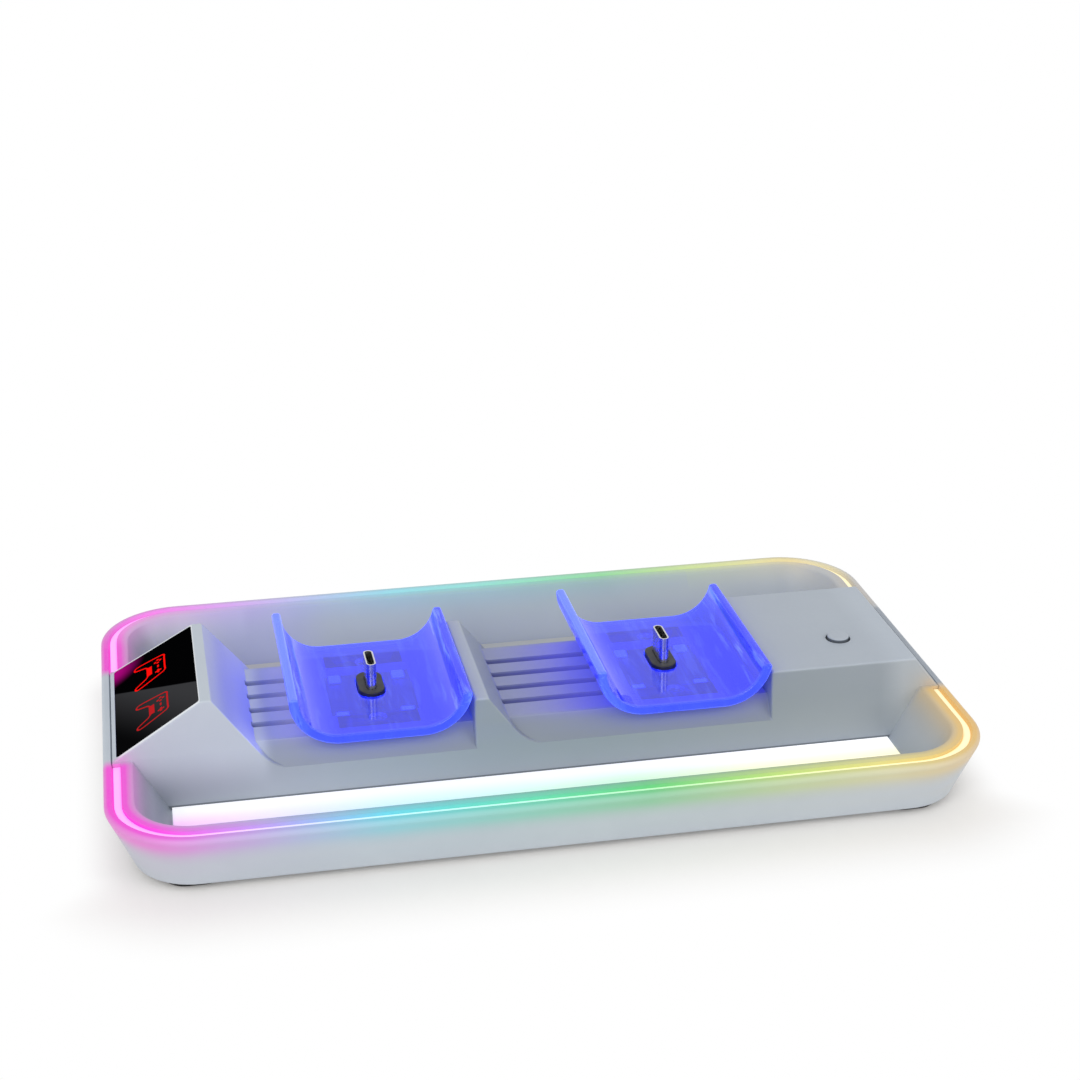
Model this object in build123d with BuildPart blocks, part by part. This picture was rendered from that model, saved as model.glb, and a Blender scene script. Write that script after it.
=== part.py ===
"""Charging dock for two game controllers: a shallow lit tray, a raised bridge with two clear cradles,
a tilted display at the left end and a button platform at the right end.

Millimetres. The origin is on the table under the middle of the tray, +X runs along the tray towards the
button platform, +Y to the back and +Z up.
"""

import os
from math import cos, radians, sin, tan

from build123d import *

os.makedirs("parts", exist_ok=True)

# Tray
tray_length = 207.0
tray_width = 125.0
tray_height = 14.9
tray_corner = 20.5
outer_lean = 23.0
floor_thickness = 1.6
rail_width = 2.3
shell_fit = 0.15
end_seam = 0.4
end_seam_depth = 0.8
rim_round = 1.0
inner_rim_round = 1.0
underside_round = 1.2

# Light groove in the rim and the trough walls inside it
strip_width = 2.1
inner_rail_width = 2.65
trough_lean = 31.0
trough_wall = 2.5
rim_band_height = 4.5
strip_height = 1.6
strip_drop = 0.85
strip_end_gap = 0.2
groove_stop = 0.8
led_tape_thickness = 0.4
led_tape_width = 0.8
light_fit = 0.1
panel_thickness = 0.8
panel_fit = 0.25

# Bridge between the two ends of the tray
bridge_half_width = 23.4
bridge_draft_low = 5.8
bridge_draft_high = 8.3
bridge_wall = 2.4
deck_drop = 0.1
deck_flat_half = 19.3
deck_edge_drop = 5.2
deck_edge_round = 10.0
corner_round = 0.8
face_edge_round = 0.5
groove_count = 4
groove_pitch = 7.4
groove_width = 2.5
groove_depth = 1.4
groove_notch = 0.5
groove_under_cradle = 4.5

# Display wedge at the left end
wedge_run = 21.0
wedge_tilt = 31.3
ridge_width = 2.4
block_slope = 52.7
window_low_margin = 1.2
window_high_margin = 0.45
window_side_margin = 0.9
window_thickness = 1.4
window_fit = 0.1
window_corner = 0.6
display_board_width = 13.0
display_board_length = 34.0
display_board_shift = 2.5
display_seat = 1.5

# Button platform at the right end, and the rest behind the left cradle
platform_height = 7.2
platform_length = 37.25
platform_side_run = 5.55
rest_top_width = 3.4

# Cradles and their charging plugs
side_deck = 7.9
cradle_width = 43.6
cradle_half_length = 24.6
cradle_wall = 2.2
cradle_corner = 12.0
cradle_front_height = 12.5
cradle_back_height = 10.5
cradle_end_round = 0.4
cradle_gap = 0.4
cradle_peg_diameter = 4.0
cradle_peg_length = 2.0
cradle_peg_spread = 15.0
peg_fit = 0.15
glow_window_length = 26.0
glow_window_width = 22.0
glow_board_margin = 3.0
board_thickness = 1.2
lamp_size = 3.0
lamp_height = 1.0
collar_length = 12.4
collar_width = 6.4
collar_proud = 0.9
collar_fit = 0.3
plug_length = 8.3
plug_thickness = 2.4
plug_height = 6.6
plug_wall = 0.35

# Mode button and its switch
button_radius = 2.7
button_fit = 0.45
button_proud = 0.9
button_round = 0.4
button_flange = 1.0
button_flange_thickness = 0.8
button_travel = 0.5
button_play = 0.1
button_inset = 15.2
button_y = -7.4
switch_size = 6.0
switch_body_height = 3.5
plunger_radius = 1.7
plunger_height = 0.7
switch_board_length = 22.0
switch_board_width = 12.0
switch_post_diameter = 4.0

# Boards and power inlet inside the bridge
main_board_length = 40.0
main_board_width = 30.0
board_post_height = 3.0
board_post_diameter = 4.5
board_thick = 1.6
chip_size = 10.0
chip_height = 1.4
coil_size = 7.0
coil_height = 3.2
inlet_width = 8.9
inlet_height = 3.2
inlet_depth = 7.5
inlet_wall = 0.35
inlet_axis_height = 8.0
inlet_board_length = 14.0
inlet_board_width = 13.0
inlet_fit = 0.25
inlet_setback = 1.1

# Screws and feet
screw_spread = 14.0
boss_diameter = 6.6
screw_head_diameter = 4.6
screw_head_height = 1.6
screw_shank_diameter = 2.4
screw_length = 7.5
screw_fit = 0.2
screw_recess = 0.4
lower_boss_height = 3.6
foot_length = 14.5
foot_width = 11.0
foot_height = 1.5
foot_seat = 0.5
foot_fit = 0.15
foot_inset_x = 19.5
foot_inset_y = 14.0

# Levels above the table
underside_z = foot_height
floor_z = underside_z + floor_thickness
rim_z = underside_z + tray_height
deck_z = rim_z - deck_drop
platform_z = rim_z + platform_height
groove_floor_z = rim_z - strip_drop - strip_height - led_tape_thickness
deck_underside_z = deck_z - bridge_wall

groove_end_y = bridge_half_width + groove_stop

# Insets from the tray's outline at the rim
upper_inset = rail_width + shell_fit
groove_inset = upper_inset + strip_width
trough_inset = groove_inset + inner_rail_width

# Stations along the bridge, from the left end to the right end
end_x = tray_length / 2 - rail_width - end_seam
ridge_left_x = wedge_run - end_x
ridge_right_x = ridge_left_x + ridge_width
ridge_z = rim_z + wedge_run * tan(radians(wedge_tilt))
wedge_foot_x = ridge_right_x + (ridge_z - deck_z) / tan(radians(block_slope))
left_cradle_x = wedge_foot_x + side_deck
rest_left_x = left_cradle_x + cradle_width + cradle_gap
rest_right_x = rest_left_x + rest_top_width
rest_foot_x = rest_right_x + (platform_z - deck_z) / tan(radians(block_slope))
platform_right_x = end_x - platform_side_run
platform_left_x = platform_right_x - platform_length
right_cradle_x = platform_left_x - cradle_gap - cradle_width
plug_x = [x + cradle_width / 2 for x in (left_cradle_x, right_cradle_x)]
screw_x = [
    left_cradle_x - side_deck / 2,
    (rest_foot_x + right_cradle_x) / 2,
    platform_left_x + 0.8 * boss_diameter,
]
button_x = platform_right_x - button_inset

# The trough's outline where its leaning walls reach the floor
trough_run = (rim_z - floor_z) * tan(radians(trough_lean))
trough_floor_x = tray_length / 2 - trough_inset - trough_run
trough_floor_y = tray_width / 2 - trough_inset - trough_run
trough_floor_corner = tray_corner - trough_inset - trough_run


def bridge_half_at(z):
    """Half width of the bridge's end face at height z."""
    draft = bridge_draft_high if z > rim_z else bridge_draft_low
    return bridge_half_width - (z - rim_z) * tan(radians(draft))


def rim_outline(inset):
    """The tray's rounded outline at the rim, moved inwards."""
    RectangleRounded(tray_length - 2 * inset, tray_width - 2 * inset, tray_corner - inset)


def bridge_side_face(bottom_z):
    """The bridge seen from the front, from a bottom level up to its wedge, deck, rest and platform."""
    bite = trough_wall / 2
    lean = tan(radians(trough_lean))
    rim_x = tray_length / 2 - trough_inset + bite
    low_x = rim_x - (rim_z - bottom_z) * lean
    seat_z = rim_z - bite
    seat_x = rim_x - bite * lean
    Polygon(
        (-low_x, bottom_z),
        (low_x, bottom_z),
        (seat_x, seat_z),
        (end_x, rim_z),
        (platform_right_x, platform_z),
        (platform_left_x, platform_z),
        (platform_left_x, deck_z),
        (rest_foot_x, deck_z),
        (rest_right_x, platform_z),
        (rest_left_x, platform_z),
        (rest_left_x, deck_z),
        (wedge_foot_x, deck_z),
        (ridge_right_x, ridge_z),
        (ridge_left_x, ridge_z),
        (-end_x, rim_z),
        (-seat_x, seat_z),
        align=None,
    )


def bridge_end_face(bottom_z):
    """The bridge seen from the right, without its lowered deck edges."""
    top_z = ridge_z + bridge_wall
    Polygon(
        (-bridge_half_at(bottom_z), bottom_z),
        (bridge_half_at(bottom_z), bottom_z),
        (bridge_half_at(rim_z), rim_z),
        (bridge_half_at(top_z), top_z),
        (-bridge_half_at(top_z), top_z),
        (-bridge_half_at(rim_z), rim_z),
        align=None,
    )


deck_edge_z = deck_z - deck_edge_drop
deck_edge_slope = deck_edge_drop / (bridge_half_at(deck_edge_z) - deck_flat_half)


def deck_edge_faces(sink):
    """Triangles above the sloping front and back edges of the deck, sunk below those slopes."""
    inner_y = deck_flat_half - sink / deck_edge_slope
    outer_y = 2 * bridge_half_width
    outer_z = deck_z - (outer_y - inner_y) * deck_edge_slope
    Polygon((inner_y, deck_z), (outer_y, outer_z), (outer_y, deck_z), align=None)
    Polygon((-inner_y, deck_z), (-outer_y, deck_z), (-outer_y, outer_z), align=None)


def deck_zone_face(foot_x, far_x):
    """A stretch of deck seen from the front, with the slope that falls to its foot carried on below it."""
    top_z = deck_z + bridge_wall
    run = 1 / tan(radians(block_slope))
    Polygon(
        (foot_x - (top_z - deck_z) * run, top_z),
        (foot_x + deck_edge_drop * run, deck_edge_z),
        (far_x, deck_edge_z),
        (far_x, top_z),
        align=None,
    )


def on_end_face(point):
    """Whether a point lies on the bridge's front or back face."""
    return abs(abs(point.Y) - bridge_half_at(point.Z)) < face_edge_round / 10


def keep(part, name):
    """Labels a finished piece and writes it as one file."""
    part.label = name
    export_step(part, f"parts/{name}.step")


# Where the deck's edges slope, left and right of the rest
with BuildPart() as left_deck_edges:
    with BuildSketch(Plane.XZ) as zone:
        deck_zone_face(wedge_foot_x, rest_left_x)
        fillet(zone.vertices().group_by(Axis.Y)[0].sort_by(Axis.X)[0], deck_edge_round)
    extrude(amount=tray_width, both=True)
    with BuildSketch(Plane.YZ):
        deck_edge_faces(0)
    extrude(amount=tray_length, both=True, mode=Mode.INTERSECT)

with BuildPart() as right_deck_edges:
    with BuildSketch(Plane.XZ) as zone:
        deck_zone_face(rest_foot_x, platform_left_x)
        fillet(zone.vertices().group_by(Axis.Y)[0].sort_by(Axis.X)[0], deck_edge_round)
    extrude(amount=tray_width, both=True)
    with BuildSketch(Plane.YZ):
        deck_edge_faces(0)
    extrude(amount=tray_length, both=True, mode=Mode.INTERSECT)

# The bridge as a solid block, and the hollow under it
with BuildPart() as bridge_block:
    with BuildSketch(Plane.XZ) as side_view:
        bridge_side_face(floor_z)
        raised = [v for v in side_view.vertices() if v.Y > rim_z + corner_round]
        fillet(raised, corner_round)
    extrude(amount=tray_width, both=True)
    with BuildSketch(Plane.YZ):
        bridge_end_face(floor_z)
    extrude(amount=tray_length, both=True, mode=Mode.INTERSECT)
    add(left_deck_edges.part, mode=Mode.SUBTRACT)
    add(right_deck_edges.part, mode=Mode.SUBTRACT)
    raised = [e for e in bridge_block.edges() if e.bounding_box().max.Z > deck_z + corner_round]
    on_faces = [e for e in raised if on_end_face(e.position_at(0)) and on_end_face(e.position_at(1))]
    fillet([e for e in on_faces if e.bounding_box().size.X > corner_round / 4], face_edge_round)

with BuildPart() as bridge_core:
    with BuildSketch(Plane.XZ):
        bridge_side_face(floor_z - 2 * bridge_wall)
        offset(amount=-bridge_wall, kind=Kind.INTERSECTION, mode=Mode.REPLACE)
    extrude(amount=tray_width, both=True)
    with BuildSketch(Plane.YZ):
        bridge_end_face(floor_z - 2 * bridge_wall)
        offset(amount=-bridge_wall, kind=Kind.INTERSECTION, mode=Mode.REPLACE)
    extrude(amount=tray_length, both=True, mode=Mode.INTERSECT)
    with BuildSketch(Plane.YZ.offset((wedge_foot_x + platform_left_x) / 2)):
        deck_edge_faces(bridge_wall / cos(radians(45)))
    extrude(amount=(platform_left_x - wedge_foot_x) / 2 + bridge_wall, both=True, mode=Mode.SUBTRACT)

# Display plane on the wedge's slope, with its X up the slope
window_width = wedge_run / cos(radians(wedge_tilt)) - window_low_margin - window_high_margin
window_middle = wedge_run / 2 + (window_low_margin - window_high_margin) / 2 * cos(radians(wedge_tilt))
slope_middle = Vector(window_middle - end_x, 0, rim_z + window_middle * tan(radians(wedge_tilt)))
slope_normal = (-sin(radians(wedge_tilt)), 0, cos(radians(wedge_tilt)))
display_plane = Plane(
    origin=slope_middle,
    x_dir=(cos(radians(wedge_tilt)), 0, sin(radians(wedge_tilt))),
    z_dir=slope_normal,
)



def window_face(grow):
    """The display window seen square on, its short sides along the wedge's front and back."""
    reach = window_width / 2 + grow
    rise = window_width / 2 * sin(radians(wedge_tilt))
    low_y = bridge_half_at(slope_middle.Z - rise) - window_side_margin + grow
    high_y = bridge_half_at(slope_middle.Z + rise) - window_side_margin + grow
    Polygon((-reach, -low_y), (reach, -high_y), (reach, high_y), (-reach, low_y), align=None)


switch_board_z = (
    platform_z
    - bridge_wall
    - button_play
    - button_flange_thickness
    - button_travel
    - button_play
    - plunger_height
    - switch_body_height
)
post_x = (switch_board_length - switch_post_diameter) / 2
peg_places = [(x, side * cradle_peg_spread) for x in plug_x for side in (-1, 1)]
screw_places = [(x, side * screw_spread) for x in screw_x for side in (-1, 1)]
boss_foot_z = underside_z + lower_boss_height
screw_seat_z = underside_z + screw_recess + screw_head_height
screw_top_z = screw_seat_z + screw_length
inlet_z = underside_z + inlet_axis_height
inlet_board_z = inlet_z - inlet_height / 2 - board_thickness
wall_x_at_inlet = tray_length / 2 - (rim_z - inlet_z) * tan(radians(outer_lean))
inlet_mouth_x = wall_x_at_inlet - inlet_setback

# Upper housing: inner rail, trough walls, bridge, wedge and platform in one moulding
with BuildPart() as upper_housing:
    with BuildSketch(Plane.XY.offset(rim_z)):
        rim_outline(upper_inset)
    extrude(amount=-rim_band_height, taper=outer_lean)
    with BuildSketch(Plane.XY.offset(rim_z)):
        rim_outline(trough_inset - trough_wall)
    extrude(amount=floor_z - rim_z, taper=trough_lean)
    with BuildSketch(Plane.XY.offset(rim_z)):
        rim_outline(trough_inset)
    extrude(amount=floor_z - rim_z, taper=trough_lean, mode=Mode.SUBTRACT)
    rim_face = upper_housing.faces().sort_by(Axis.Z)[-1]
    fillet(rim_face.inner_wires()[0].edges(), inner_rim_round)
    with BuildSketch(Plane.XY.offset(groove_floor_z)):
        Rectangle(2 * tray_length, 2 * tray_width)
        RectangleRounded(
            tray_length - 2 * groove_inset,
            tray_width - 2 * groove_inset,
            tray_corner - groove_inset,
            mode=Mode.SUBTRACT,
        )
        Rectangle(2 * tray_length, 2 * groove_end_y, mode=Mode.SUBTRACT)
    extrude(amount=tray_height, mode=Mode.SUBTRACT)
    with BuildSketch(Plane.XY.offset(rim_z - end_seam_depth)):
        Rectangle(2 * tray_length, 2 * groove_end_y)
        Rectangle(2 * end_x, 2 * groove_end_y, mode=Mode.SUBTRACT)
    extrude(amount=tray_height, mode=Mode.SUBTRACT)
    add(bridge_block.part)
    add(bridge_core.part, mode=Mode.SUBTRACT)
    # Bosses for the housing screws and posts for the switch board
    for x, top_z in zip(screw_x, (deck_underside_z, deck_underside_z, platform_z - bridge_wall)):
        with BuildSketch(Plane.XY.offset(boss_foot_z)):
            with Locations((x, -screw_spread), (x, screw_spread)):
                Circle(boss_diameter / 2)
        extrude(amount=top_z + bridge_wall / 4 - boss_foot_z)
    with BuildSketch(Plane.XY.offset(switch_board_z)):
        with Locations((button_x - post_x, button_y), (button_x + post_x, button_y)):
            Circle(switch_post_diameter / 2)
    extrude(amount=platform_z - bridge_wall * 3 / 4 - switch_board_z)
    with BuildSketch(Plane.XY.offset(boss_foot_z)):
        with Locations(*screw_places):
            Circle(screw_shank_diameter / 2 + screw_fit / 4)
    extrude(amount=screw_top_z + screw_fit - boss_foot_z, mode=Mode.SUBTRACT)
    # Grooves across the bare stretches of deck
    for start_x, stop_x in (
        (wedge_foot_x, left_cradle_x),
        (rest_foot_x, right_cradle_x),
    ):
        length = stop_x - start_x + groove_notch + groove_under_cradle
        middle_x = start_x - groove_notch + length / 2
        with BuildSketch(Plane.XY.offset(deck_z - groove_depth)):
            with Locations((middle_x, 0)):
                with GridLocations(0, groove_pitch, 1, groove_count):
                    Rectangle(length, groove_width)
        extrude(amount=groove_depth + groove_notch, mode=Mode.SUBTRACT)
    # Lit window and peg holes under each cradle
    with BuildSketch(Plane.XY.offset(deck_underside_z)):
        with Locations(*[(x, 0) for x in plug_x]):
            Rectangle(glow_window_width, glow_window_length)
        with Locations(*peg_places):
            Circle(cradle_peg_diameter / 2 + peg_fit)
    extrude(amount=bridge_wall, mode=Mode.SUBTRACT)
    # Display recess, with an opening for the board's lamps
    with BuildSketch(display_plane.offset(-window_thickness)) as recess:
        window_face(window_fit)
        fillet(recess.vertices(), window_corner + window_fit)
    extrude(amount=2 * window_thickness, mode=Mode.SUBTRACT)
    with BuildSketch(display_plane.offset(-bridge_wall)):
        with Locations((display_board_shift, 0)):
            Rectangle(display_board_width - 2 * display_seat, display_board_length - 2 * display_seat)
    extrude(amount=bridge_wall, mode=Mode.SUBTRACT)
    # Button bore, and the passage for the power inlet
    with Locations((button_x, button_y, platform_z)):
        Hole(button_radius + button_fit, depth=bridge_wall)
    with BuildSketch(Plane.YZ.offset(trough_floor_x - inlet_board_length)):
        with Locations((0, floor_z)):
            Rectangle(
                inlet_board_width + 2 * inlet_fit,
                inlet_z + inlet_height - floor_z,
                align=(Align.CENTER, Align.MIN),
            )
    extrude(amount=tray_length, mode=Mode.SUBTRACT)
keep(upper_housing.part, "upper_housing")

# Lower housing: the tray's outer bowl, with bosses, posts and seats for the feet
foot_places = [
    (side_x * (tray_length / 2 - foot_inset_x), side_y * (tray_width / 2 - foot_inset_y))
    for side_x in (-1, 1)
    for side_y in (-1, 1)
]
main_board_x = (screw_x[1] + screw_x[2]) / 2
inlet_board_x = inlet_mouth_x - inlet_depth / 2 - inlet_board_length / 2

with BuildPart() as lower_housing:
    with BuildSketch(Plane.XY.offset(rim_z)):
        rim_outline(0)
    extrude(amount=-tray_height, taper=outer_lean)
    fillet(lower_housing.faces().sort_by(Axis.Z)[-1].edges(), rim_round)
    fillet(lower_housing.faces().sort_by(Axis.Z)[0].edges(), underside_round)
    with BuildSketch(Plane.XY.offset(rim_z)):
        rim_outline(rail_width)
    extrude(amount=floor_z - rim_z, taper=outer_lean, mode=Mode.SUBTRACT)
    with BuildSketch(Plane.XY.offset(floor_z)):
        with Locations(*screw_places):
            Circle(boss_diameter / 2)
    extrude(amount=boss_foot_z - floor_z)
    with BuildSketch(Plane.XY.offset(floor_z)):
        with Locations((main_board_x, 0)):
            with GridLocations(
                main_board_length - 2 * board_post_diameter,
                main_board_width - 2 * board_post_diameter,
                2,
                2,
            ):
                Circle(board_post_diameter / 2)
    extrude(amount=board_post_height)
    with BuildSketch(Plane.XY.offset(floor_z)):
        with Locations((inlet_board_x, 0)):
            with GridLocations(
                inlet_board_length - board_post_diameter,
                inlet_board_width - board_post_diameter,
                2,
                2,
            ):
                Circle(board_post_diameter / 2)
    extrude(amount=inlet_board_z - floor_z)
    with BuildSketch(Plane.XY.offset(underside_z)):
        with Locations(*screw_places):
            Circle(screw_head_diameter / 2 + screw_fit)
    extrude(amount=screw_recess + screw_head_height, mode=Mode.SUBTRACT)
    with BuildSketch(Plane.XY.offset(underside_z)):
        with Locations(*screw_places):
            Circle(screw_shank_diameter / 2 + screw_fit)
    extrude(amount=lower_boss_height, mode=Mode.SUBTRACT)
    with BuildSketch(Plane.XY.offset(underside_z)):
        with Locations(*foot_places):
            SlotOverall(foot_length + 2 * foot_fit, foot_width + 2 * foot_fit)
    extrude(amount=foot_seat, mode=Mode.SUBTRACT)
    with BuildSketch(Plane.YZ.offset(inlet_mouth_x - inlet_depth / 2)):
        with Locations((0, inlet_z)):
            SlotOverall(inlet_width + 2 * inlet_fit, inlet_height + 2 * inlet_fit)
    extrude(amount=tray_length, mode=Mode.SUBTRACT)
keep(lower_housing.part, "lower_housing")

# Rim lights in two runs, each a milky strip over a lamp tape
strip_top_z = rim_z - strip_drop
strip_inset = upper_inset + strip_drop * tan(radians(outer_lean))
for name, side, align_y in (("front", -1, Align.MAX), ("rear", 1, Align.MIN)):
    start_y = side * (groove_end_y + strip_end_gap)
    with BuildPart() as light_strip:
        with BuildSketch(Plane.XY.offset(strip_top_z)):
            rim_outline(strip_inset)
        extrude(amount=-strip_height, taper=outer_lean)
        with BuildSketch(Plane.XY.offset(strip_top_z)):
            rim_outline(groove_inset - light_fit)
        extrude(amount=-strip_height, mode=Mode.SUBTRACT)
        with BuildSketch(Plane.XY.offset(rim_z)):
            with Locations((0, start_y)):
                Rectangle(tray_length, tray_width, align=(Align.CENTER, align_y))
        extrude(amount=-tray_height, mode=Mode.INTERSECT)
    keep(light_strip.part, f"{name}_light_strip")
    with BuildPart() as led_tape:
        with BuildSketch(Plane.XY.offset(groove_floor_z)):
            rim_outline(groove_inset - light_fit - led_tape_width)
        extrude(amount=led_tape_thickness)
        with BuildSketch(Plane.XY.offset(groove_floor_z)):
            rim_outline(groove_inset - light_fit)
        extrude(amount=led_tape_thickness, mode=Mode.SUBTRACT)
        with BuildSketch(Plane.XY.offset(rim_z)):
            with Locations((0, start_y)):
                Rectangle(tray_length, tray_width, align=(Align.CENTER, align_y))
        extrude(amount=-tray_height, mode=Mode.INTERSECT)
    keep(led_tape.part, f"{name}_led_tape")
    with BuildPart() as floor_panel:
        with BuildSketch(Plane.XY.offset(floor_z)):
            RectangleRounded(
                2 * (trough_floor_x - panel_fit),
                2 * (trough_floor_y - panel_fit),
                trough_floor_corner - panel_fit,
            )
            with Locations((0, side * (bridge_half_at(floor_z) + panel_fit))):
                Rectangle(tray_length, tray_width, align=(Align.CENTER, align_y), mode=Mode.INTERSECT)
        extrude(amount=panel_thickness)
    keep(floor_panel.part, f"{name}_floor_panel")

# Display window and the board behind it
with BuildPart() as display_window:
    with BuildSketch(display_plane.offset(-window_thickness)) as panel:
        window_face(0)
        fillet(panel.vertices(), window_corner)
    extrude(amount=window_thickness)
keep(display_window.part, "display_window")

with BuildPart() as display_board:
    with BuildSketch(display_plane.offset(-bridge_wall - board_thickness)):
        with Locations((display_board_shift, 0)):
            Rectangle(display_board_width, display_board_length)
    extrude(amount=board_thickness)
keep(display_board.part, "display_board")

# Two charging bays: clear cradle, lit board, collar and plug
cradle_floor_z = deck_z + cradle_wall
collar_top_z = cradle_floor_z + collar_proud
for name, x in zip(("left", "right"), plug_x):
    with BuildPart() as cradle:
        with BuildSketch(Plane.XZ) as outside:
            with Locations((x, deck_z)):
                Rectangle(cradle_width, cradle_front_height, align=(Align.CENTER, Align.MIN))
            fillet(outside.vertices().group_by(Axis.Y)[0], cradle_corner)
        extrude(amount=cradle_half_length, both=True)
        with BuildSketch(Plane.XZ) as inside:
            with Locations((x, cradle_floor_z)):
                Rectangle(
                    cradle_width - 2 * cradle_wall,
                    cradle_front_height,
                    align=(Align.CENTER, Align.MIN),
                )
            fillet(inside.vertices().group_by(Axis.Y)[0], cradle_corner - cradle_wall)
        extrude(amount=cradle_half_length, both=True, mode=Mode.SUBTRACT)
        with BuildSketch(Plane.XZ):
            with Locations((x, deck_z + cradle_back_height)):
                Rectangle(cradle_width, cradle_front_height, align=(Align.MIN, Align.MIN))
        extrude(amount=cradle_half_length, both=True, mode=Mode.SUBTRACT)
        lips = [f for f in cradle.faces().filter_by(Axis.Z) if f.center().Z > cradle_floor_z + cradle_wall]
        fillet([e for f in lips for e in f.edges().filter_by(Axis.Y)], cradle_wall / 3)
        ends = cradle.faces().filter_by(Axis.Y).group_by(Axis.Y)
        fillet([e for f in (ends[0][0], ends[-1][0]) for e in f.edges()], cradle_end_round)
        with BuildSketch(Plane.XY.offset(deck_z - cradle_peg_length)):
            with Locations((x, -cradle_peg_spread), (x, cradle_peg_spread)):
                Circle(cradle_peg_diameter / 2)
        extrude(amount=cradle_peg_length + cradle_wall / 2)
        with BuildSketch(Plane.XY.offset(deck_z)):
            with Locations((x, 0)):
                SlotOverall(collar_length + 2 * collar_fit, collar_width + 2 * collar_fit, rotation=90)
        extrude(amount=cradle_wall, mode=Mode.SUBTRACT)
    keep(cradle.part, f"{name}_cradle")
    with BuildPart() as glow_board:
        with BuildSketch(Plane.XY.offset(deck_underside_z - board_thickness)):
            with Locations((x, 0)):
                Rectangle(
                    glow_window_width + 2 * glow_board_margin,
                    glow_window_length + 2 * glow_board_margin,
                )
        extrude(amount=board_thickness)
        with BuildSketch(Plane.XY.offset(deck_underside_z)):
            with Locations((x, 0)):
                with GridLocations(
                    glow_window_width - 2 * lamp_size,
                    glow_window_length - 2 * lamp_size,
                    2,
                    2,
                ):
                    Rectangle(lamp_size, lamp_size)
        extrude(amount=lamp_height)
    keep(glow_board.part, f"{name}_glow_board")
    with BuildPart() as plug_collar:
        with BuildSketch(Plane.XY.offset(deck_underside_z)):
            with Locations((x, 0)):
                SlotOverall(collar_length, collar_width, rotation=90)
        extrude(amount=collar_top_z - deck_underside_z)
        fillet(plug_collar.faces().sort_by(Axis.Z)[-1].edges(), collar_proud / 3)
        with BuildSketch(Plane.XY.offset(collar_top_z - plug_thickness)):
            with Locations((x, 0)):
                SlotOverall(plug_length + 2 * light_fit, plug_thickness + 2 * light_fit, rotation=90)
        extrude(amount=plug_thickness, mode=Mode.SUBTRACT)
    keep(plug_collar.part, f"{name}_plug_collar")
    with BuildPart() as charge_plug:
        with BuildSketch(Plane.XY.offset(collar_top_z - plug_thickness)):
            with Locations((x, 0)):
                SlotOverall(plug_length, plug_thickness, rotation=90)
        extrude(amount=plug_thickness + plug_height)
        with BuildSketch(Plane.XY.offset(collar_top_z)):
            with Locations((x, 0)):
                SlotOverall(plug_length - 2 * plug_wall, plug_thickness - 2 * plug_wall, rotation=90)
        extrude(amount=plug_height, mode=Mode.SUBTRACT)
    keep(charge_plug.part, f"{name}_charge_plug")

# Mode button, its switch and the board that carries the switch
flange_top_z = platform_z - bridge_wall - button_play
with BuildPart() as mode_button:
    with BuildSketch(Plane.XY.offset(flange_top_z - button_flange_thickness)):
        with Locations((button_x, button_y)):
            Circle(button_radius + button_flange)
    extrude(amount=button_flange_thickness)
    with BuildSketch(Plane.XY.offset(flange_top_z)):
        with Locations((button_x, button_y)):
            Circle(button_radius)
    extrude(amount=platform_z + button_proud - flange_top_z)
    fillet(mode_button.faces().sort_by(Axis.Z)[-1].edges(), button_round)
keep(mode_button.part, "mode_button")

with BuildPart() as mode_switch:
    with BuildSketch(Plane.XY.offset(switch_board_z)):
        with Locations((button_x, button_y)):
            Rectangle(switch_size, switch_size)
    extrude(amount=switch_body_height)
    with BuildSketch(Plane.XY.offset(switch_board_z + switch_body_height)):
        with Locations((button_x, button_y)):
            Circle(plunger_radius)
    extrude(amount=plunger_height)
keep(mode_switch.part, "mode_switch")

with BuildPart() as switch_board:
    with BuildSketch(Plane.XY.offset(switch_board_z)):
        with Locations((button_x, button_y)):
            Rectangle(switch_board_length, switch_board_width)
    extrude(amount=-board_thickness)
keep(switch_board.part, "switch_board")

# Main board with its larger components
main_board_top_z = floor_z + board_post_height + board_thick
with BuildPart() as main_board:
    with BuildSketch(Plane.XY.offset(main_board_top_z)):
        with Locations((main_board_x, 0)):
            Rectangle(main_board_length, main_board_width)
    extrude(amount=-board_thick)
    with BuildSketch(Plane.XY.offset(main_board_top_z)):
        with Locations((main_board_x, 0)):
            Rectangle(chip_size, chip_size)
    extrude(amount=chip_height)
    with BuildSketch(Plane.XY.offset(main_board_top_z)):
        with Locations((main_board_x, 0)):
            with GridLocations(main_board_length / 2, main_board_width / 2, 2, 2):
                Rectangle(coil_size, coil_size)
    extrude(amount=coil_height)
keep(main_board.part, "main_board")

# Power inlet on its board, mouth in the right wall
with BuildPart() as inlet_board:
    with BuildSketch(Plane.XY.offset(inlet_board_z)):
        with Locations((inlet_board_x, 0)):
            Rectangle(inlet_board_length, inlet_board_width)
    extrude(amount=board_thickness)
keep(inlet_board.part, "inlet_board")

with BuildPart() as power_inlet:
    with BuildSketch(Plane.YZ.offset(inlet_mouth_x)):
        with Locations((0, inlet_z)):
            SlotOverall(inlet_width, inlet_height)
    extrude(amount=-inlet_depth)
    with BuildSketch(Plane.YZ.offset(inlet_mouth_x)):
        with Locations((0, inlet_z)):
            SlotOverall(inlet_width - 2 * inlet_wall, inlet_height - 2 * inlet_wall)
    extrude(amount=inlet_height / 2 - inlet_depth, mode=Mode.SUBTRACT)
    with BuildSketch(Plane.YZ.offset(inlet_mouth_x - inlet_depth + inlet_height / 2)):
        with Locations((0, inlet_z)):
            Rectangle(inlet_width - inlet_height, 2 * inlet_wall)
    extrude(amount=inlet_depth - inlet_height)
keep(power_inlet.part, "power_inlet")

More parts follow.
